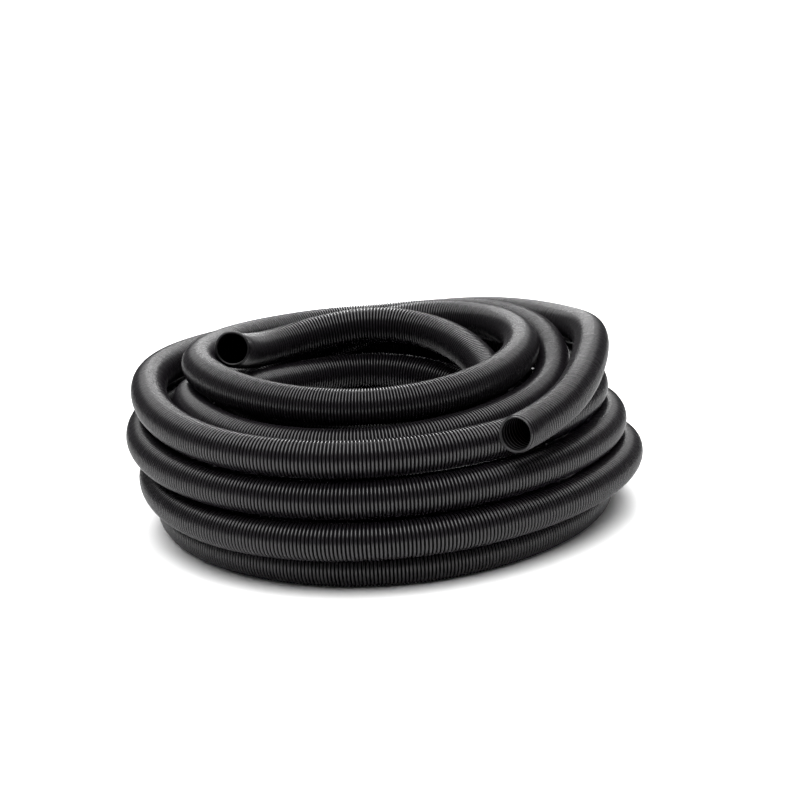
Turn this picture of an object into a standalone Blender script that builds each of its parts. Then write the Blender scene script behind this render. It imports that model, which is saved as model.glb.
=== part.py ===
"""A coiled vacuum hose: one ribbed hose with two bare ends, lying in a round coil.

The hose is one tube, wound into turns that lie on and beside each other. It is built as
consecutive stretches, one for each turn and a short one at each open end, and every stretch
is a hollow tube with a flat ring at both its ends. Metres, +Z up, the open ends face -Y.
The ribs are left out here: a stretch is the plain tube that runs over their crests.
"""
import math

import bmesh
import bpy
import numpy as np
from mathutils import Vector

HOSE_OUTSIDE = 0.0436        # over the ribs
SPACING = 0.0440             # between the middles of two stretches that touch
STEP_DEG = 4.5               # between two points of the route
FLOOR = 0.5                  # height of a stretch that lies on the floor

# The route of the hose, in hose diameters, wound anticlockwise seen from above:
# (angle from +X in degrees, distance from the coil's middle, height of the hose's middle).
OUTER_TURNS = [
    (-58.5, 6.58, 3.80), (-36, 5.97, 3.80), (-18, 5.74, 4.00), (9, 5.98, 4.32),
    (30, 6.34, 4.12), (60, 6.64, 3.89), (90, 6.50, 3.61), (135, 6.50, 3.65),
    (160, 6.47, 3.75), (180, 6.21, 3.74), (225, 5.95, 3.52), (270, 5.65, 3.43),
    (315, 5.55, 3.42), (340, 5.75, 3.36), (360, 5.98, 3.27), (375, 6.08, 3.22),
    (390, 6.34, 3.13), (420, 6.62, 2.90), (450, 6.48, 2.63), (495, 6.45, 2.64),
    (540, 6.42, 2.66), (585, 6.20, 2.48), (630, 6.00, 2.42), (675, 5.95, 2.47),
    (720, 6.32, 2.46), (765, 6.50, 2.00), (810, 6.42, 1.60), (855, 6.35, 1.50),
    (900, 6.15, 1.52), (945, 6.28, 1.42), (990, 6.30, 1.42), (1035, 6.25, 1.50),
    (1080, 6.75, 1.54), (1125, 6.55, 1.05), (1170, 6.30, 0.62), (1215, 6.05, 0.50),
    (1260, 5.72, 0.50), (1305, 5.65, 0.50), (1350, 5.70, 0.50), (1395, 5.62, 0.50),
]
FLOOR_TURNS = [
    (1440, 5.90, 0.50), (1485, 5.65, 0.50), (1530, 5.20, 0.50), (1575, 4.90, 0.50),
    (1620, 4.70, 0.50), (1665, 4.62, 0.50), (1710, 4.65, 0.50), (1755, 4.45, 0.50),
    (1800, 4.70, 0.55), (1845, 4.95, 0.90), (1890, 5.20, 1.30), (1935, 5.25, 1.45),
    (1980, 5.10, 1.48), (2025, 5.05, 1.42), (2070, 5.10, 1.42), (2115, 5.00, 1.45),
    (2160, 5.10, 1.55), (2205, 5.30, 2.00), (2250, 5.35, 2.40), (2295, 5.50, 2.75),
]
TOP_TURNS = [
    (2340, 5.05, 3.48), (2385, 5.05, 3.48), (2430, 4.75, 3.42), (2475, 4.40, 3.48),
    (2520, 4.82, 3.72), (2545, 5.28, 4.06), (2568, 5.68, 4.16), (2610, 5.50, 3.90),
    (2655, 5.10, 4.10), (2700, 4.75, 4.40), (2745, 4.25, 4.33), (2790, 4.00, 4.24),
    (2835, 3.85, 4.32), (2890, 4.15, 4.44), (2925, 4.64, 4.36), (2970, 4.60, 4.08),
]
INNER_TURNS = [
    (3015, 4.55, 3.10), (3060, 4.20, 2.60), (3105, 4.35, 2.42), (3150, 4.50, 2.40),
    (3195, 4.10, 2.45), (3240, 3.85, 2.55), (3285, 3.35, 2.80), (3330, 3.50, 3.05),
    (3375, 3.60, 3.10), (3420, 3.85, 3.35), (3465, 3.85, 3.35), (3510, 3.72, 3.25),
    (3555, 3.40, 3.38), (3600, 3.10, 3.70), (3630, 3.05, 4.00), (3660, 3.40, 4.20),
    (3690, 3.75, 4.30), (3720, 3.90, 4.15), (3742, 3.95, 4.15), (3764, 3.92, 4.50),
    (3780, 3.88, 4.88),
]
STATIONS = OUTER_TURNS + FLOOR_TURNS + TOP_TURNS + INNER_TURNS

# How stretches that would cut into each other are pushed apart, as the hose settles.
SETTLE_STEPS = 300
SETTLE_PUSH = 0.6            # share of an overlap that each side gives way
SETTLE_SMOOTH = 0.25         # how far a push is shared along the hose
SETTLE_PULL = 0.02           # pull back to the route above
SETTLE_REACH = 1.6           # stretches further apart than this never touch
SETTLE_CLEAR = 1.026         # distance at which two stretches are left alone
NEXT_TO_IT = 2.5             # a stretch nearer than this along the hose is its neighbour


def spline(knots, values, places):
    """Read a natural cubic spline through the values at the knots."""
    gaps = np.diff(knots)
    count = len(knots)
    system = np.eye(count)
    target = np.zeros(count)
    slopes = np.diff(values) / gaps
    for i in range(1, count - 1):
        system[i, i - 1:i + 2] = gaps[i - 1], 2 * (gaps[i - 1] + gaps[i]), gaps[i]
        target[i] = 6 * (slopes[i] - slopes[i - 1])
    bend = np.linalg.solve(system, target)
    k = np.clip(np.searchsorted(knots, places, side="right") - 1, 0, count - 2)
    gap = gaps[k]
    before = places - knots[k]
    after = knots[k + 1] - places
    return ((bend[k] * after ** 3 + bend[k + 1] * before ** 3) / (6 * gap)
            + (values[k] / gap - bend[k] * gap / 6) * after
            + (values[k + 1] / gap - bend[k + 1] * gap / 6) * before)


def wound_route():
    """Points of the hose's middle line every STEP_DEG of winding, in hose diameters."""
    angles, radii, heights = np.array(STATIONS).T
    count = round((angles[-1] - angles[0]) / STEP_DEG) + 1
    places = np.linspace(angles[0], angles[-1], count)
    radius = spline(angles, radii, places)
    height = spline(angles, heights, places)
    turn = np.radians(places)
    return np.stack([radius * np.cos(turn), radius * np.sin(turn), height], axis=1)


def settled(route):
    """Push apart the stretches that would cut into each other."""
    start = route.copy()
    step = np.linalg.norm(np.diff(route, axis=0), axis=1).mean()
    first, second = np.triu_indices(len(route), math.ceil(NEXT_TO_IT / step))
    near = np.linalg.norm(route[second] - route[first], axis=1) < SETTLE_REACH
    first, second = first[near], second[near]
    for turn in range(SETTLE_STEPS):
        apart = route[second] - route[first]
        distance = np.linalg.norm(apart, axis=1)
        touching = distance < SETTLE_CLEAR
        i, j = first[touching], second[touching]
        push = apart[touching] * (SETTLE_PUSH * (SETTLE_CLEAR / distance[touching] - 1))[:, None]
        move = np.zeros_like(route)
        hits = np.zeros(len(route))
        for index, sign in ((i, -1), (j, 1)):
            np.add.at(move, index, sign * push)
            np.add.at(hits, index, 1)
        shift = route + move / np.maximum(hits, 1)[:, None] - start
        shift[1:-1] += SETTLE_SMOOTH * (shift[:-2] - 2 * shift[1:-1] + shift[2:])
        if turn < 0.8 * SETTLE_STEPS:
            shift *= 1 - SETTLE_PULL
        route = start + shift
        route[:, 2] = np.maximum(route[:, 2], FLOOR)
    return route


# The tube and how it is cut into stretches.
BORE_RADIUS = 0.0190         # clear radius inside the hose
SIDES = 12
CUT_GAP = 0.0003             # between two consecutive stretches
STEPS_PER_TURN = round(360 / STEP_DEG)
STEPS_PER_RING = 4           # route steps between two rings of a turn
END_STEPS = 5                # route steps in the stretch at the outer end
LAST_STEPS = 8               # route steps in the stretch at the inner end
UP = Vector((0, 0, 1))

# The coil stands on the middle of its footprint, on the flat sides of its lowest turn.
COIL_MIDDLE = (0.00764, 0.00571)
FLOOR_DROP = SPACING * FLOOR - math.cos(math.pi / SIDES) * HOSE_OUTSIDE / 2

# The ends are cut by hand, a little off square: the way each cut face looks along the hose.
OUTER_CUT = (0.50, 0.85, -0.16)
INNER_CUT = (-0.12, -0.98, 0.13)

HOSE_COLOUR = (0.040, 0.038, 0.041, 1)
HOSE_ROUGHNESS = 0.42


def hose_material(name):
    """Satin black plastic."""
    material = bpy.data.materials.new(name)
    material.use_nodes = True
    shader = material.node_tree.nodes["Principled BSDF"]
    shader.inputs["Base Color"].default_value = HOSE_COLOUR
    shader.inputs["Roughness"].default_value = HOSE_ROUGHNESS
    shader.inputs["Metallic"].default_value = 0
    return material


def directions(route):
    """Unit direction of the hose at each point of the route, and of the cuts at its ends."""
    ahead = np.gradient(route, axis=0)
    ahead /= np.linalg.norm(ahead, axis=1)[:, None]
    ahead[0] = Vector(OUTER_CUT).normalized()
    ahead[-1] = Vector(INNER_CUT).normalized()
    return ahead


def ring(mesh, centre, ahead, radius):
    """A ring of vertices square to the hose, with a flat side down."""
    side = ahead.cross(UP).normalized()
    above = side.cross(ahead)
    corners = [2 * math.pi * (i + 0.5) / SIDES - math.pi / 2 for i in range(SIDES)]
    return [mesh.verts.new(centre + radius * (math.cos(a) * side + math.sin(a) * above)) for a in corners]


def band(mesh, near, far):
    """Quads that join two rings."""
    for i in range(SIDES):
        j = (i + 1) % SIDES
        mesh.faces.new((near[i], near[j], far[j], far[i]))


def stretch(name, centres, aheads):
    """A hollow tube along the given points, with a flat ring at both ends."""
    centres = [Vector(point) for point in centres]
    aheads = [Vector(ahead) for ahead in aheads]
    centres[0] += aheads[0] * CUT_GAP / 2
    centres[-1] -= aheads[-1] * CUT_GAP / 2
    mesh = bmesh.new()
    bore_corner = BORE_RADIUS / math.cos(math.pi / SIDES)
    outside = [ring(mesh, c, a, HOSE_OUTSIDE / 2) for c, a in zip(centres, aheads)]
    bore = [ring(mesh, c, a, bore_corner) for c, a in zip(centres, aheads)]
    for skin in (outside, bore):
        for near, far in zip(skin, skin[1:]):
            band(mesh, near, far)
    band(mesh, outside[0], bore[0])
    band(mesh, outside[-1], bore[-1])
    bmesh.ops.recalc_face_normals(mesh, faces=mesh.faces)
    data = bpy.data.meshes.new(name)
    mesh.to_mesh(data)
    mesh.free()
    data.materials.append(hose_material(name))
    data.shade_smooth()
    data.set_sharp_from_angle(angle=math.radians(50))
    bpy.context.scene.collection.objects.link(bpy.data.objects.new(name, data))


def cuts(last):
    """Name and route steps of every stretch, from the outer end to the inner end."""
    start = END_STEPS
    stretches = [("outer_end", [0, *range(END_STEPS % STEPS_PER_RING, start + 1, STEPS_PER_RING)])]
    turn = 1
    while start < last - LAST_STEPS:
        stop = min(start + STEPS_PER_TURN, last - LAST_STEPS)
        stretches.append((f"turn_{turn:02d}", range(start, stop + 1, STEPS_PER_RING)))
        start = stop
        turn += 1
    stretches.append(("inner_end", range(start, last + 1, STEPS_PER_RING)))
    return stretches


def build():
    """Make every stretch of the hose."""
    for old in list(bpy.data.objects):
        bpy.data.objects.remove(old)
    route = settled(wound_route()) * SPACING - np.array([*COIL_MIDDLE, FLOOR_DROP])
    aheads = directions(route)
    for name, steps in cuts(len(route) - 1):
        stretch(name, route[list(steps)], aheads[list(steps)])


build()
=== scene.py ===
"""A coiled vacuum hose of satin black plastic, ribbed all along, with two bare open ends.

The hose is wound from the same stations as the design, in metres, and its ribs, bore and cut
ends are made along that route by one Geometry Nodes tree, one piece for each stretch.
"""
import math

import bpy
import numpy as np
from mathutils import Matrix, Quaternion, Vector


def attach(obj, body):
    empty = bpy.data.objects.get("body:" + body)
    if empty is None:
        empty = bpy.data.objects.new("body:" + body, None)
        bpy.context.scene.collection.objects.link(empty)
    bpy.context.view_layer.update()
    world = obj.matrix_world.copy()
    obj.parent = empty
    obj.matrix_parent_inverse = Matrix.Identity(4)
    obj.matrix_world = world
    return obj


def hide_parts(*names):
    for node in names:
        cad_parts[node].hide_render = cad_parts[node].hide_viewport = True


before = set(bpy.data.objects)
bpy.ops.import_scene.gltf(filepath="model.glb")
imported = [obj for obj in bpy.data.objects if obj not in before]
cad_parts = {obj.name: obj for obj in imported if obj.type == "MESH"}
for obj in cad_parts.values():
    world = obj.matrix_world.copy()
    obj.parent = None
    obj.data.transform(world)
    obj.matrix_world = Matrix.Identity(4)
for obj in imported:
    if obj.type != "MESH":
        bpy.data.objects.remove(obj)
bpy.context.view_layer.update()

HOSE_OUTSIDE = 0.0436        # over the ribs
SPACING = 0.0440             # between the middles of two stretches that touch
STEP_DEG = 4.5               # between two points of the route
FLOOR = 0.5                  # height of a stretch that lies on the floor

# The route of the hose, in hose diameters, wound anticlockwise seen from above:
# (angle from +X in degrees, distance from the coil's middle, height of the hose's middle).
OUTER_TURNS = [
    (-58.5, 6.58, 3.80), (-36, 5.97, 3.80), (-18, 5.74, 4.00), (9, 5.98, 4.32),
    (30, 6.34, 4.12), (60, 6.64, 3.89), (90, 6.50, 3.61), (135, 6.50, 3.65),
    (160, 6.47, 3.75), (180, 6.21, 3.74), (225, 5.95, 3.52), (270, 5.65, 3.43),
    (315, 5.55, 3.42), (340, 5.75, 3.36), (360, 5.98, 3.27), (375, 6.08, 3.22),
    (390, 6.34, 3.13), (420, 6.62, 2.90), (450, 6.48, 2.63), (495, 6.45, 2.64),
    (540, 6.42, 2.66), (585, 6.20, 2.48), (630, 6.00, 2.42), (675, 5.95, 2.47),
    (720, 6.32, 2.46), (765, 6.50, 2.00), (810, 6.42, 1.60), (855, 6.35, 1.50),
    (900, 6.15, 1.52), (945, 6.28, 1.42), (990, 6.30, 1.42), (1035, 6.25, 1.50),
    (1080, 6.75, 1.54), (1125, 6.55, 1.05), (1170, 6.30, 0.62), (1215, 6.05, 0.50),
    (1260, 5.72, 0.50), (1305, 5.65, 0.50), (1350, 5.70, 0.50), (1395, 5.62, 0.50),
]
FLOOR_TURNS = [
    (1440, 5.90, 0.50), (1485, 5.65, 0.50), (1530, 5.20, 0.50), (1575, 4.90, 0.50),
    (1620, 4.70, 0.50), (1665, 4.62, 0.50), (1710, 4.65, 0.50), (1755, 4.45, 0.50),
    (1800, 4.70, 0.55), (1845, 4.95, 0.90), (1890, 5.20, 1.30), (1935, 5.25, 1.45),
    (1980, 5.10, 1.48), (2025, 5.05, 1.42), (2070, 5.10, 1.42), (2115, 5.00, 1.45),
    (2160, 5.10, 1.55), (2205, 5.30, 2.00), (2250, 5.35, 2.40), (2295, 5.50, 2.75),
]
TOP_TURNS = [
    (2340, 5.05, 3.48), (2385, 5.05, 3.48), (2430, 4.75, 3.42), (2475, 4.40, 3.48),
    (2520, 4.82, 3.72), (2545, 5.28, 4.06), (2568, 5.68, 4.16), (2610, 5.50, 3.90),
    (2655, 5.10, 4.10), (2700, 4.75, 4.40), (2745, 4.25, 4.33), (2790, 4.00, 4.24),
    (2835, 3.85, 4.32), (2890, 4.15, 4.44), (2925, 4.64, 4.36), (2970, 4.60, 4.08),
]
INNER_TURNS = [
    (3015, 4.55, 3.10), (3060, 4.20, 2.60), (3105, 4.35, 2.42), (3150, 4.50, 2.40),
    (3195, 4.10, 2.45), (3240, 3.85, 2.55), (3285, 3.35, 2.80), (3330, 3.50, 3.05),
    (3375, 3.60, 3.10), (3420, 3.85, 3.35), (3465, 3.85, 3.35), (3510, 3.72, 3.25),
    (3555, 3.40, 3.38), (3600, 3.10, 3.70), (3630, 3.05, 4.00), (3660, 3.40, 4.20),
    (3690, 3.75, 4.30), (3720, 3.90, 4.15), (3742, 3.95, 4.15), (3764, 3.92, 4.50),
    (3780, 3.88, 4.88),
]
STATIONS = OUTER_TURNS + FLOOR_TURNS + TOP_TURNS + INNER_TURNS

# How stretches that would cut into each other are pushed apart, as the hose settles.
SETTLE_STEPS = 300
SETTLE_PUSH = 0.6            # share of an overlap that each side gives way
SETTLE_SMOOTH = 0.25         # how far a push is shared along the hose
SETTLE_PULL = 0.02           # pull back to the route above
PULL_SHARE = 0.8             # share of the steps in which the pull acts
SETTLE_REACH = 1.6           # stretches further apart than this never touch
SETTLE_CLEAR = 1.026         # distance at which two stretches are left alone
NEXT_TO_IT = 2.5             # a stretch nearer than this along the hose is its neighbour


def spline(knots, values, places):
    """Read a natural cubic spline through the values at the knots."""
    gaps = np.diff(knots)
    count = len(knots)
    system = np.eye(count)
    target = np.zeros(count)
    slopes = np.diff(values) / gaps
    for i in range(1, count - 1):
        system[i, i - 1:i + 2] = gaps[i - 1], 2 * (gaps[i - 1] + gaps[i]), gaps[i]
        target[i] = 6 * (slopes[i] - slopes[i - 1])
    bend = np.linalg.solve(system, target)
    k = np.clip(np.searchsorted(knots, places, side="right") - 1, 0, count - 2)
    gap = gaps[k]
    before = places - knots[k]
    after = knots[k + 1] - places
    return ((bend[k] * after ** 3 + bend[k + 1] * before ** 3) / (6 * gap)
            + (values[k] / gap - bend[k] * gap / 6) * after
            + (values[k + 1] / gap - bend[k + 1] * gap / 6) * before)


def wound_route():
    """Points of the hose's middle line every STEP_DEG of winding, in hose diameters."""
    angles, radii, heights = np.array(STATIONS).T
    count = round((angles[-1] - angles[0]) / STEP_DEG) + 1
    places = np.linspace(angles[0], angles[-1], count)
    radius = spline(angles, radii, places)
    height = spline(angles, heights, places)
    turn = np.radians(places)
    return np.stack([radius * np.cos(turn), radius * np.sin(turn), height], axis=1)


def settled(route):
    """Push apart the stretches that would cut into each other."""
    start = route.copy()
    step = np.linalg.norm(np.diff(route, axis=0), axis=1).mean()
    first, second = np.triu_indices(len(route), math.ceil(NEXT_TO_IT / step))
    near = np.linalg.norm(route[second] - route[first], axis=1) < SETTLE_REACH
    first, second = first[near], second[near]
    for turn in range(SETTLE_STEPS):
        apart = route[second] - route[first]
        distance = np.linalg.norm(apart, axis=1)
        touching = distance < SETTLE_CLEAR
        i, j = first[touching], second[touching]
        overlap = SETTLE_CLEAR / distance[touching] - 1
        push = apart[touching] * (SETTLE_PUSH * overlap)[:, None]
        move = np.zeros_like(route)
        hits = np.zeros(len(route))
        for index, sign in ((i, -1), (j, 1)):
            np.add.at(move, index, sign * push)
            np.add.at(hits, index, 1)
        shift = route + move / np.maximum(hits, 1)[:, None] - start
        shift[1:-1] += SETTLE_SMOOTH * (shift[:-2] - 2 * shift[1:-1] + shift[2:])
        if turn < PULL_SHARE * SETTLE_STEPS:
            shift *= 1 - SETTLE_PULL
        route = start + shift
        route[:, 2] = np.maximum(route[:, 2], FLOOR)
    return route


# --- sizes of the hose and its ribs ---------------------------------------------------------

COIL_MIDDLE = (0.00764, 0.00571)     # middle of the coil's footprint, in the route's own axes
FLAT_SIDE = math.cos(math.pi / 12)   # the design's tube has twelve sides and lies on a flat one
FLOOR_DROP = SPACING * FLOOR - FLAT_SIDE * HOSE_OUTSIDE / 2
FINE_STEPS = 3                       # points of the smooth route for each step of the settled one

# The ends are cut by hand, a little off square: the way each cut face looks along the hose.
OUTER_CUT = (0.50, 0.85, -0.16)
INNER_CUT = (-0.12, -0.98, 0.13)
CUT_BLEND = 0.035                    # length over which the ribs turn square to the hose again
NO_BLEND = 0.0001                    # the same where a stretch ends square

# The wall of the hose, and the ribs moulded round it and inside its two mouths.
RIB_DEPTH = 0.0022
BORE_RADIUS = 0.0190
WALL_RADIUS = 0.0195
WALL_RING = 0.010                    # between two rings of the plain wall
SLEEVE_RADIUS = 0.0192               # inside of the ribs' sleeve, hidden in the wall
SLEEVE_RING = 0.020
SIDES = 28
RINGS_PER_RIB = 8
RIB_ROUNDNESS = 1.0                  # below 1 the ribs are broad and the grooves narrow
NO_DEPTH = 0.00001                   # a wall whose ribs are less deep than this is plain
RIB_SETBACK = 0.0020                 # the ribs stop this far from a cut face
LIP_RADIUS = 0.0205                  # the plain lip that the cut leaves at each end
LIP_LENGTH = 0.0024
LIP_PROUD = 0.0004                   # the lip stands this far before the wall and inside the bore
MOUTH_RIBS = 30                      # ribs inside each mouth
MOUTH_PITCH = 0.0040
MOUTH_RIB_DEPTH = 0.0005
MOUTH_SEAT = 0.0003                  # the mouth ribs' sleeve is sunk this far into the wall
LIP_RINGS = 2                        # rings of a lip, outside; its bore has one more
FLOOR_CLEAR = 0.0001
WELD = 0.00001                       # points of the sheet's seams nearer than this become one

# Stretches of the hose: name, winding angle at which it ends, pitch of the ribs there.
# Some turns are drawn out a little and others are pushed together.
STRETCHES = [
    ("outer_end", -36, 0.00400),
    ("turn_01", 324, 0.00415),
    ("turn_02", 684, 0.00415),
    ("turn_03", 1044, 0.00430),
    ("turn_04", 1404, 0.00405),
    ("turn_05", 1764, 0.00400),
    ("turn_06", 2124, 0.00400),
    ("turn_07", 2484, 0.00380),
    ("turn_08", 2844, 0.00345),
    ("turn_09", 3204, 0.00370),
    ("turn_10", 3564, 0.00405),
    ("turn_11", 3744, 0.00410),
    ("inner_end", 3780, 0.00405),
]


def hose_points():
    """The hose's middle line, smooth and in metres, in the coil's own place."""
    rough = settled(wound_route())
    places = np.arange(len(rough), dtype=float)
    fine = np.linspace(0, len(rough) - 1, (len(rough) - 1) * FINE_STEPS + 1)
    smooth = np.stack([spline(places, rough[:, axis], fine) for axis in range(3)], axis=1)
    return smooth * SPACING - np.array([*COIL_MIDDLE, FLOOR_DROP])


def route_curve(points):
    """The route as a poly curve that the rib tree reads its places from."""
    data = bpy.data.curves.new("hose_route", "CURVE")
    data.dimensions = "3D"
    line = data.splines.new("POLY")
    line.points.add(len(points) - 1)
    line.points.foreach_set("co", np.c_[points, np.ones(len(points))].astype(np.float32).ravel())
    guide = bpy.data.objects.new("hose_route", data)
    bpy.context.scene.collection.objects.link(guide)
    return guide


class Wiring:
    """Adds nodes to a tree and joins them, with plain numbers where no socket is given."""

    def __init__(self, tree):
        self.tree = tree

    def node(self, kind, **settings):
        made = self.tree.nodes.new(kind)
        for name, value in settings.items():
            setattr(made, name, value)
        return made

    def feed(self, socket, value):
        if isinstance(value, bpy.types.NodeSocket):
            self.tree.links.new(value, socket)
        else:
            socket.default_value = value

    def calc(self, operation, *values):
        made = self.node("ShaderNodeMath", operation=operation)
        for socket, value in zip(made.inputs, values):
            self.feed(socket, value)
        return made.outputs[0]

    def vector(self, operation, *values):
        made = self.node("ShaderNodeVectorMath", operation=operation)
        for socket, value in zip(made.inputs, values):
            self.feed(socket, value)
        return made.outputs[0]

    def scaled(self, vector, factor):
        made = self.node("ShaderNodeVectorMath", operation="SCALE")
        self.feed(made.inputs[0], vector)
        self.feed(made.inputs["Scale"], factor)
        return made.outputs[0]

    def mixed(self, factor, one, other):
        """One number where the factor is 0 and the other where it is 1."""
        return self.calc("ADD", one, self.calc("MULTIPLY", factor, self.calc("SUBTRACT", other, one)))

    def ramp(self, value, low, high, start=0.0, end=1.0):
        made = self.node("ShaderNodeMapRange", interpolation_type="SMOOTHSTEP")
        for socket, given in zip(made.inputs, (value, low, high, start, end)):
            self.feed(socket, given)
        return made.outputs[0]


def named_socket(tree, name, kind, value=None, out=False):
    """A named input or output of a node tree."""
    way = "OUTPUT" if out else "INPUT"
    made = tree.interface.new_socket(name=name, in_out=way, socket_type=kind)
    if value is not None:
        made.default_value = value
    return made


HOSE_INPUTS = [
    ("Route", "NodeSocketObject", None),
    ("Start", "NodeSocketFloat", 0.0),
    ("Length", "NodeSocketFloat", 1.0),
    ("Ribs", "NodeSocketInt", 10),
    ("Rings per Rib", "NodeSocketInt", RINGS_PER_RIB),
    ("Sides", "NodeSocketInt", SIDES),
    ("Outside Radius", "NodeSocketFloat", HOSE_OUTSIDE / 2),
    ("Rib Depth", "NodeSocketFloat", RIB_DEPTH),
    ("Rib Roundness", "NodeSocketFloat", RIB_ROUNDNESS),
    ("Bore Rings", "NodeSocketInt", 2),
    ("Bore Radius", "NodeSocketFloat", BORE_RADIUS),
    ("Bore Rib Depth", "NodeSocketFloat", 0.0),
    ("Start Face", "NodeSocketVector", (0, 1, 0)),
    ("End Face", "NodeSocketVector", (0, 1, 0)),
    ("Start Blend", "NodeSocketFloat", NO_BLEND),
    ("End Blend", "NodeSocketFloat", NO_BLEND),
    ("Floor", "NodeSocketFloat", FLOOR_CLEAR),
]


def hose_tree(outside, bore, cut):
    """The hose's wall: rings of ribs forward along the route, then back along the bore."""
    tree = bpy.data.node_groups.new("ribbed_hose", "GeometryNodeTree")
    for name, kind, value in HOSE_INPUTS:
        named_socket(tree, name, kind, value)
    named_socket(tree, "Hose", "NodeSocketGeometry", out=True)
    w = Wiring(tree)
    given = w.node("NodeGroupInput").outputs
    calc = w.calc

    # A flat sheet: columns go round the hose, rows are its rings, the last row closes the wall.
    out_steps = calc("MULTIPLY", given["Ribs"], given["Rings per Rib"])
    out_rings = calc("ADD", out_steps, 1)
    rows = calc("ADD", out_rings, given["Bore Rings"])
    sheet = w.node("GeometryNodeMeshGrid")
    w.feed(sheet.inputs["Size X"], 1.0)
    w.feed(sheet.inputs["Size Y"], 1.0)
    w.feed(sheet.inputs["Vertices X"], calc("ADD", given["Sides"], 1))
    w.feed(sheet.inputs["Vertices Y"], calc("ADD", rows, 1))
    place = w.node("ShaderNodeSeparateXYZ")
    w.feed(place.inputs[0], w.node("GeometryNodeInputPosition").outputs[0])
    column = calc("MULTIPLY", calc("ADD", place.outputs[0], 0.5), given["Sides"])
    column = calc("ROUND", column)
    sheet_row = calc("MULTIPLY", calc("ADD", place.outputs[1], 0.5), rows)
    sheet_row = calc("ROUND", sheet_row)
    row = calc("MODULO", sheet_row, rows)

    # Which ring a row is, how far along the stretch it lies and how far out of the groove.
    in_bore = calc("GREATER_THAN", row, calc("SUBTRACT", out_rings, 0.5))
    back_ring = calc("SUBTRACT", calc("SUBTRACT", rows, 1), row)
    ring = w.mixed(in_bore, row, back_ring)
    bore_steps = calc("SUBTRACT", given["Bore Rings"], 1)
    steps = w.mixed(in_bore, out_steps, bore_steps)
    along = calc("MULTIPLY", calc("DIVIDE", ring, steps), given["Length"])
    phase = calc("DIVIDE", ring, given["Rings per Rib"])
    swell = calc("ABSOLUTE", calc("SINE", calc("MULTIPLY", phase, math.pi)))
    crest = calc("POWER", swell, given["Rib Roundness"])
    groove = calc("SUBTRACT", 1, crest)
    sunk = calc("MULTIPLY", given["Rib Depth"], groove)
    out_radius = calc("SUBTRACT", given["Outside Radius"], sunk)
    bore_sunk = calc("MULTIPLY", given["Bore Rib Depth"], crest)
    bore_radius = calc("ADD", given["Bore Radius"], bore_sunk)
    radius = w.mixed(in_bore, out_radius, bore_radius)

    # The route at that ring, and the ring's own axes: square to the hose, or along a cut end.
    route = w.node("GeometryNodeObjectInfo")
    w.feed(route.inputs["Object"], given["Route"])
    reading = w.node("GeometryNodeSampleCurve", mode="LENGTH")
    w.feed(reading.inputs["Curves"], route.outputs["Geometry"])
    w.feed(reading.inputs["Length"], calc("ADD", given["Start"], along))
    ahead = reading.outputs["Tangent"]
    left = calc("SUBTRACT", given["Length"], along)
    for distance, face, blend in (
        (along, "Start Face", "Start Blend"),
        (left, "End Face", "End Blend"),
    ):
        turn = w.node("ShaderNodeMix", data_type="VECTOR")
        w.feed(turn.inputs["Factor"], w.ramp(distance, 0.0, given[blend]))
        w.feed(turn.inputs[4], given[face])
        w.feed(turn.inputs[5], ahead)
        ahead = turn.outputs[1]
    ahead = w.vector("NORMALIZE", ahead)
    side = w.vector("NORMALIZE", w.vector("CROSS_PRODUCT", ahead, (0, 0, 1)))
    above = w.vector("CROSS_PRODUCT", side, ahead)
    round_share = calc("DIVIDE", column, given["Sides"])
    angle = calc("SUBTRACT", calc("MULTIPLY", round_share, 2 * math.pi), math.pi / 2)
    across = w.scaled(side, calc("MULTIPLY", radius, calc("COSINE", angle)))
    upward = w.scaled(above, calc("MULTIPLY", radius, calc("SINE", angle)))
    point = w.vector("ADD", reading.outputs["Position"], w.vector("ADD", across, upward))
    parts = w.node("ShaderNodeSeparateXYZ")
    w.feed(parts.inputs[0], point)
    rested = w.node("ShaderNodeCombineXYZ")
    w.feed(rested.inputs[0], parts.outputs[0])
    w.feed(rested.inputs[1], parts.outputs[1])
    w.feed(rested.inputs[2], calc("MAXIMUM", parts.outputs[2], given["Floor"]))

    # What the finishes read: the place on the wall in metres, and how far out of a groove it is.
    plain_outside = calc("LESS_THAN", given["Rib Depth"], NO_DEPTH)
    plain_bore = calc("LESS_THAN", given["Bore Rib Depth"], NO_DEPTH)
    open_outside = calc("MAXIMUM", crest, plain_outside)
    open_bore = calc("MAXIMUM", groove, plain_bore)
    openness = w.mixed(in_bore, open_outside, open_bore)
    wall_place = w.node("ShaderNodeCombineXYZ")
    w.feed(wall_place.inputs[0], calc("MULTIPLY", round_share, math.pi * HOSE_OUTSIDE))
    w.feed(wall_place.inputs[1], calc("ADD", given["Start"], along))
    shape = sheet.outputs["Mesh"]
    for name, kind, domain, value in (
        ("hose_uv", "FLOAT2", "CORNER", wall_place.outputs[0]),
        ("crest", "FLOAT", "POINT", openness),
        ("row", "FLOAT", "FACE", sheet_row),
    ):
        note = w.node("GeometryNodeStoreNamedAttribute", data_type=kind, domain=domain)
        w.feed(note.inputs["Geometry"], shape)
        w.feed(note.inputs["Name"], name)
        w.feed(note.inputs["Value"], value)
        shape = note.outputs[0]
    moved = w.node("GeometryNodeSetPosition")
    w.feed(moved.inputs["Geometry"], shape)
    w.feed(moved.inputs["Position"], rested.outputs[0])
    welded = w.node("GeometryNodeMergeByDistance")
    w.feed(welded.inputs["Geometry"], moved.outputs[0])
    w.feed(welded.inputs["Distance"], WELD)

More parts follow.
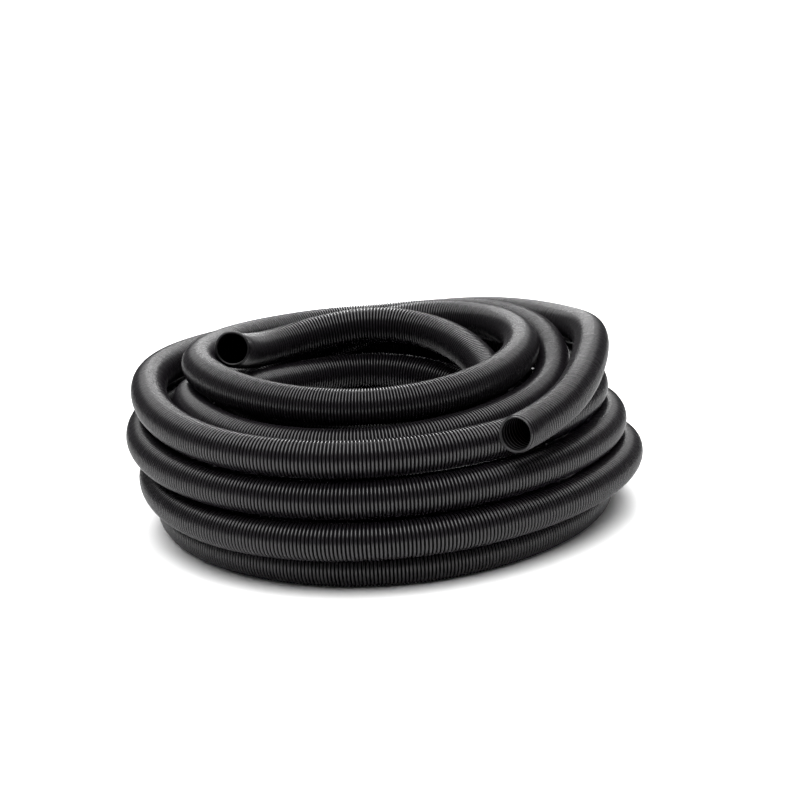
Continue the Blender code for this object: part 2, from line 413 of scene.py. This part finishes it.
    # The ribs and the bore are smooth and the two cut faces are flat.
    face_row = w.node("GeometryNodeInputNamedAttribute", data_type="FLOAT")
    w.feed(face_row.inputs["Name"], "row")
    on_bore = calc("GREATER_THAN", face_row.outputs[0], calc("SUBTRACT", out_rings, 1))
    far_cut = calc("COMPARE", face_row.outputs[0], calc("SUBTRACT", out_rings, 0.5), 0.25)
    near_cut = calc("COMPARE", face_row.outputs[0], calc("SUBTRACT", rows, 0.5), 0.25)
    on_cut = calc("MAXIMUM", far_cut, near_cut)
    shading = w.node("GeometryNodeSetShadeSmooth", domain="FACE")
    w.feed(shading.inputs["Geometry"], welded.outputs[0])
    w.feed(shading.inputs["Shade Smooth"], calc("LESS_THAN", on_cut, 0.5))
    whole = w.node("GeometryNodeRealizeInstances")
    w.feed(whole.inputs[0], shading.outputs[0])
    shape = whole.outputs[0]
    for material, faces in ((outside, True), (bore, on_bore), (cut, on_cut)):
        finish = w.node("GeometryNodeSetMaterial")
        w.feed(finish.inputs["Material"], material)
        w.feed(finish.inputs["Geometry"], shape)
        w.feed(finish.inputs["Selection"], faces)
        shape = finish.outputs[0]
    w.feed(w.node("NodeGroupOutput").inputs[0], shape)
    return tree


# --- finishes -------------------------------------------------------------------------------

HOSE_BLACK = (0.0078, 0.0068, 0.0084, 1)
BORE_BLACK = (0.0070, 0.0064, 0.0074, 1)
CUT_BLACK = (0.034, 0.032, 0.036, 1)
DUST = (0.12, 0.117, 0.115, 1)

# Each finish: name, colour, roughness, tone spread, dust, bump of the grain.
FINISHES = [
    ("hose_outside", HOSE_BLACK, 0.27, 0.12, 0.035, 0.025),
    ("hose_bore", BORE_BLACK, 0.50, 0.30, 0.05, 0.12),
    ("hose_cut", CUT_BLACK, 0.55, 0.30, 0.05, 0.25),
]
ROUGHNESS_SPREAD = 0.06
GRAIN_HEIGHT = 0.00005               # metres, at full bump

# Noise of the wall, in patches per metre: on the object, or round and along the hose.
CLOUD = 9.0                          # soft changes of tone over a turn
RIB_TONE = (3.0, 260.0, 0.0)         # one rib a little lighter than the next
GRAIN = 2600.0
SCUFF = (60.0, 420.0, 0.0)           # short rubbed streaks
DUST_FILM = 55.0
SPECKS = 900.0
FILM_SHARE = 0.35
SPECK_SHARE = 0.25
SCUFF_HEIGHT = 0.6                   # of a scuff beside the grain

# A groove sees little of the room, so painted shade darkens its colour and dulls its shine, and it is
# made rougher than the ribs' crests.
GROOVE_FLOOR = 0.30
CREST_TOP = 0.92
# Painted shade at a groove's bottom: the share of the colour, and below it of the shine, that is left
# there.
GROOVE_PAINTED_SHADE = 0.12
GROOVE_SHADED_SHINE = 0.04
GROOVE_ROUGHER = 0.12
SHINE = 0.5


def moulded_plastic():
    """Grain, tone, dust, shine and the painted shade in the grooves of the moulded wall, for every
    finish of the hose.
    """
    tree = bpy.data.node_groups.new("moulded_plastic", "ShaderNodeTree")
    named_socket(tree, "Color", "NodeSocketColor", HOSE_BLACK)
    named_socket(tree, "Tone Spread", "NodeSocketFloat", 0.25)
    named_socket(tree, "Roughness", "NodeSocketFloat", 0.4)
    named_socket(tree, "Roughness Spread", "NodeSocketFloat", ROUGHNESS_SPREAD)
    named_socket(tree, "Dust", "NodeSocketFloat", 0.1)
    named_socket(tree, "Color", "NodeSocketColor", out=True)
    named_socket(tree, "Roughness", "NodeSocketFloat", out=True)
    named_socket(tree, "Height", "NodeSocketFloat", out=True)
    named_socket(tree, "Shine With Painted Shade", "NodeSocketFloat", out=True)
    w = Wiring(tree)
    calc = w.calc
    given = w.node("NodeGroupInput").outputs
    place = w.node("ShaderNodeTexCoord").outputs["Object"]
    wall = w.node("ShaderNodeAttribute", attribute_name="hose_uv").outputs["Vector"]
    crest = w.node("ShaderNodeAttribute", attribute_name="crest").outputs["Fac"]

    def noise(vector, scale, detail, roughness=0.5):
        made = w.node("ShaderNodeTexNoise")
        w.feed(made.inputs["Vector"], vector)
        w.feed(made.inputs["Scale"], scale)
        w.feed(made.inputs["Detail"], detail)
        w.feed(made.inputs["Roughness"], roughness)
        return made.outputs["Fac"]

    def part(value, share):
        """This share of the value."""
        return calc("MULTIPLY", value, share)

    def around(value, spread):
        """How far the value is from its middle, times the spread."""
        return calc("MULTIPLY", calc("SUBTRACT", value, 0.5), spread)

    # Colour: patches and single ribs a little lighter or darker, and painted shade darkening the
    # colour down in a groove.
    cloud = noise(place, CLOUD, 3.0)
    ribs = noise(w.vector("MULTIPLY", wall, RIB_TONE), 1.0, 1.0)
    tone = calc("ADD", part(cloud, 0.5), part(ribs, 0.5))
    gain = calc("ADD", 1.0, around(tone, given["Tone Spread"]))
    # The painted shade follows the crest: full colour on a crest, darker towards a groove's bottom.
    open_air = w.ramp(crest, GROOVE_FLOOR, CREST_TOP)
    painted_groove_shade = calc("ADD", GROOVE_PAINTED_SHADE, part(open_air, 1 - GROOVE_PAINTED_SHADE))
    toned = w.scaled(given["Color"], calc("MULTIPLY", gain, painted_groove_shade))

    # Dust: a thin film on what faces up, and a few specks.
    facing = w.node("ShaderNodeSeparateXYZ")
    w.feed(facing.inputs[0], w.node("ShaderNodeNewGeometry").outputs["Normal"])
    upward = w.ramp(facing.outputs[2], 0.1, 0.95)
    film = calc("MULTIPLY", upward, w.ramp(noise(place, DUST_FILM, 6.0, 0.7), 0.45, 0.75))
    specks = w.ramp(noise(place, SPECKS, 2.0), 0.66, 0.74)
    dust = calc("ADD", part(film, FILM_SHARE), part(specks, SPECK_SHARE))
    dusted = w.node("ShaderNodeMix", data_type="RGBA")
    w.feed(dusted.inputs[0], part(dust, given["Dust"]))
    w.feed(dusted.inputs[6], toned)
    w.feed(dusted.inputs[7], DUST)

    # Gloss and relief: scuffs, grain and the grooves, which are rougher and whose shine is lowered as
    # painted shade on reflections.
    grain = noise(place, GRAIN, 2.0)
    scuff = noise(w.vector("MULTIPLY", wall, SCUFF), 1.0, 3.0, 0.65)
    rough = calc("ADD", given["Roughness"], around(scuff, given["Roughness Spread"]))
    rough = calc("ADD", rough, part(calc("SUBTRACT", 1.0, crest), GROOVE_ROUGHER))
    height = calc("ADD", grain, part(scuff, SCUFF_HEIGHT))
    # Painted shade on reflections: the shine is lowered down in a groove.
    groove_shaded_shine = calc("ADD", GROOVE_SHADED_SHINE, part(open_air, 1 - GROOVE_SHADED_SHINE))
    out = w.node("NodeGroupOutput")
    w.feed(out.inputs["Color"], dusted.outputs[2])
    w.feed(out.inputs["Roughness"], rough)
    w.feed(out.inputs["Height"], height)
    w.feed(out.inputs["Shine With Painted Shade"], part(groove_shaded_shine, SHINE))
    return tree


def finish_of_wall(name, color, roughness, tone_spread, dust, bump, group):
    """One finish of the hose: the moulded plastic with its own colour, gloss and dust."""
    material = bpy.data.materials.new(name)
    material.use_nodes = True
    w = Wiring(material.node_tree)
    shader = material.node_tree.nodes["Principled BSDF"]
    skin = w.node("ShaderNodeGroup", node_tree=group)
    w.feed(skin.inputs["Color"], color)
    w.feed(skin.inputs["Tone Spread"], tone_spread)
    w.feed(skin.inputs["Roughness"], roughness)
    w.feed(skin.inputs["Roughness Spread"], ROUGHNESS_SPREAD)
    w.feed(skin.inputs["Dust"], dust)
    w.feed(shader.inputs["Base Color"], skin.outputs["Color"])
    w.feed(shader.inputs["Roughness"], skin.outputs["Roughness"])
    w.feed(shader.inputs["Specular IOR Level"], skin.outputs["Shine With Painted Shade"])
    relief = w.node("ShaderNodeBump")
    w.feed(relief.inputs["Strength"], bump)
    w.feed(relief.inputs["Distance"], GRAIN_HEIGHT)
    w.feed(relief.inputs["Height"], skin.outputs["Height"])
    w.feed(shader.inputs["Normal"], relief.outputs[0])
    shader.inputs["IOR"].default_value = 1.5
    return material


# --- the room -------------------------------------------------------------------------------

CAMERA_ELEVATION = 19.5
CAMERA_DISTANCE = 68.8 * SPACING
CAMERA_ROLL = -3.0
AIM = (0.0284, 0.0446, 0.1258)       # what the camera looks at, in the route's own axes
LENS = 111.2
SENSOR = 36

FLOOR_HALF = 15.0
FLOOR_PALE = (0.97, 0.97, 0.97, 1)
FLOOR_ROUGHNESS = 0.9
FLOOR_SHINE = 0.1

# The room, as strengths of white light. Heights are shares of the way up to straight overhead.
CEILING = 5.0
CEILING_FROM = 0.70
CEILING_FULL = 0.90
CEILING_EDGE = 3.5                   # a brighter strip along the ceiling's front
EDGE_RISE = (0.78, 0.84)
EDGE_FALL = (0.93, 0.87)
WALLS = 0.35
FRONT = (-0.05, 0.45)                # from where to where the room counts as its front
FRONT_DIM = 0.9                      # share of the walls' light that is missing in front
SOFT_BOX = {"place": (0.1, 3.0, 2.1), "size": (2.0, 1.1), "power": 125.0}
LAMP_AIM = (0, 0, 0.1)


def place_camera():
    """Looks along +Y, down on the coil, from a little over three metres."""
    tilt = math.radians(CAMERA_ELEVATION)
    coil_middle = Vector((*COIL_MIDDLE, FLOOR_DROP))
    stand = Vector((0, -math.cos(tilt), math.sin(tilt))) * CAMERA_DISTANCE
    data = bpy.data.cameras.new("camera")
    data.lens = LENS
    data.sensor_width = SENSOR
    camera = bpy.data.objects.new("camera", data)
    bpy.context.scene.collection.objects.link(camera)
    camera.location = stand - coil_middle
    look = (Vector(AIM) - stand).to_track_quat("-Z", "Y")
    camera.rotation_mode = "QUATERNION"
    camera.rotation_quaternion = look @ Quaternion((0, 0, 1), math.radians(CAMERA_ROLL))
    bpy.context.scene.camera = camera


def make_floor():
    """A large pale floor."""
    half = FLOOR_HALF
    data = bpy.data.meshes.new("floor")
    corners = [(-half, -half, 0), (half, -half, 0), (half, half, 0), (-half, half, 0)]
    data.from_pydata(corners, [], [(0, 1, 2, 3)])
    floor = bpy.data.objects.new("floor", data)
    bpy.context.scene.collection.objects.link(floor)
    material = bpy.data.materials.new("floor")
    material.use_nodes = True
    shader = material.node_tree.nodes["Principled BSDF"]
    shader.inputs["Base Color"].default_value = FLOOR_PALE
    shader.inputs["Roughness"].default_value = FLOOR_ROUGHNESS
    shader.inputs["Specular IOR Level"].default_value = FLOOR_SHINE
    data.materials.append(material)


def light_room():
    """A bright ceiling with a brighter strip in front, dim walls and a soft box behind the coil."""
    world = bpy.data.worlds.new("room")
    bpy.context.scene.world = world
    world.use_nodes = True
    w = Wiring(world.node_tree)
    calc = w.calc
    sky = world.node_tree.nodes["Background"]
    way = w.node("ShaderNodeSeparateXYZ")
    w.feed(way.inputs[0], w.node("ShaderNodeTexCoord").outputs["Generated"])
    height = way.outputs[2]
    front = w.ramp(calc("MULTIPLY", way.outputs[1], -1.0), *FRONT)
    ceiling = w.ramp(height, CEILING_FROM, CEILING_FULL, 0.0, CEILING)
    strip = calc("MULTIPLY", w.ramp(height, *EDGE_RISE), w.ramp(height, *EDGE_FALL))
    strip = calc("MULTIPLY", calc("MULTIPLY", strip, front), CEILING_EDGE)
    walls = calc("MULTIPLY", calc("SUBTRACT", 1.0, calc("MULTIPLY", front, FRONT_DIM)), WALLS)
    w.feed(sky.inputs["Strength"], calc("ADD", calc("ADD", ceiling, strip), walls))
    sky.inputs["Color"].default_value = (1.0, 1.0, 1.0, 1)
    data = bpy.data.lights.new("back", "AREA")
    data.shape = "RECTANGLE"
    data.size, data.size_y = SOFT_BOX["size"]
    data.energy = SOFT_BOX["power"]
    lamp = bpy.data.objects.new("back", data)
    bpy.context.scene.collection.objects.link(lamp)
    lamp.location = SOFT_BOX["place"]
    lamp.rotation_mode = "QUATERNION"
    to_coil = Vector(LAMP_AIM) - Vector(SOFT_BOX["place"])
    lamp.rotation_quaternion = to_coil.to_track_quat("-Z", "Y")


# --- the hose -------------------------------------------------------------------------------

def made_piece(name, tree, values):
    """Runs the hose tree with these values and keeps its result as a plain mesh."""
    host = bpy.data.objects.new(name + "_host", bpy.data.meshes.new(name + "_host"))
    bpy.context.scene.collection.objects.link(host)
    modifier = host.modifiers.new("hose", "NODES")
    modifier.node_group = tree
    inputs = [item for item in tree.interface.items_tree if item.in_out == "INPUT"]
    identifiers = {item.name: item.identifier for item in inputs}
    for key, value in values.items():
        modifier[identifiers[key]] = value
    graph = bpy.context.evaluated_depsgraph_get()
    data = bpy.data.meshes.new_from_object(
        host.evaluated_get(graph), preserve_all_data_layers=True, depsgraph=graph,
    )
    bpy.data.objects.remove(host)
    data.name = name
    piece = bpy.data.objects.new(name, data)
    bpy.context.scene.collection.objects.link(piece)
    return piece


def build_hose():
    """The wall with its bore, the sleeves of ribs on it, the ribs in the mouths and the cut lips."""
    points = hose_points()
    guide = route_curve(points)
    lengths = np.linalg.norm(np.diff(points, axis=0), axis=1)
    reached = np.concatenate([[0.0], np.cumsum(lengths)])
    whole = float(reached[-1])
    start_angle = STATIONS[0][0]
    group = moulded_plastic()
    outside, bore, cut = [finish_of_wall(*finish, group) for finish in FINISHES]
    tree = hose_tree(outside, bore, cut)
    first_face = tuple(Vector(OUTER_CUT).normalized())
    last_face = tuple(Vector(INNER_CUT).normalized())
    heading = np.gradient(points, axis=0)
    heading /= np.linalg.norm(heading, axis=1)[:, None]

    def stretch(name, begin, finish, rings, **values):
        """One piece of the tree between two lengths along the route."""
        at_start = begin < CUT_BLEND
        at_end = whole - finish < CUT_BLEND
        facing = []
        for reach in (begin, finish):
            nearest = min(np.searchsorted(reached, reach), len(points) - 1)
            facing.append(tuple(heading[nearest]))
        settings = {
            "Route": guide,
            "Start": float(begin),
            "Length": float(finish - begin),
            "Ribs": rings,
            "Start Face": first_face if at_start else facing[0],
            "End Face": last_face if at_end else facing[1],
            "Start Blend": CUT_BLEND if at_start else NO_BLEND,
            "End Blend": CUT_BLEND if at_end else NO_BLEND,
        }
        settings.update({key.replace("_", " "): value for key, value in values.items()})
        return made_piece(name, tree, settings)

    wall_rings = round(whole / WALL_RING)
    wall = stretch(
        "hose_wall", LIP_PROUD, whole - LIP_PROUD, wall_rings,
        Rings_per_Rib=1, Outside_Radius=WALL_RADIUS, Rib_Depth=0.0, Bore_Rings=wall_rings + 1,
    )
    sleeves = []
    begin = 0.0
    for name, end_angle, pitch in STRETCHES:
        step = round((end_angle - start_angle) / STEP_DEG * FINE_STEPS)
        finish = reached[step]
        low = max(begin, RIB_SETBACK)
        high = min(finish, whole - RIB_SETBACK)
        ribs = round((high - low) / pitch)
        sleeve = stretch(
            "ribs_" + name, low, high, ribs,
            Rib_Depth=RIB_DEPTH, Bore_Radius=SLEEVE_RADIUS,
            Bore_Rings=max(3, round((high - low) / SLEEVE_RING)),
        )
        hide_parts(name)
        sleeves.append(sleeve)
        begin = finish
    mouth = MOUTH_RIBS * MOUTH_PITCH
    for name, low in (
        ("outer_mouth_ribs", RIB_SETBACK),
        ("inner_mouth_ribs", whole - RIB_SETBACK - mouth),
    ):
        sleeves.append(stretch(
            name, low, low + mouth, MOUTH_RIBS,
            Outside_Radius=BORE_RADIUS + MOUTH_SEAT, Rib_Depth=0.0,
            Bore_Radius=BORE_RADIUS - MOUTH_RIB_DEPTH, Bore_Rib_Depth=MOUTH_RIB_DEPTH,
            Bore_Rings=MOUTH_RIBS * RINGS_PER_RIB + 1,
        ))
    for name, low, face in (
        ("outer_lip", 0.0, first_face),
        ("inner_lip", whole - LIP_LENGTH, last_face),
    ):
        sleeves.append(stretch(
            name, low, low + LIP_LENGTH, 1,
            Rings_per_Rib=LIP_RINGS, Outside_Radius=LIP_RADIUS, Rib_Depth=0.0,
            Bore_Radius=BORE_RADIUS - LIP_PROUD / 2, Bore_Rings=LIP_RINGS + 1,
            Start_Face=face, End_Face=face,
        ))
    bpy.data.objects.remove(guide)
    for piece in (wall, *sleeves):
        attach(piece, "root")


bpy.context.scene.view_settings.view_transform = "Standard"
place_camera()
make_floor()
light_room()
build_hose()
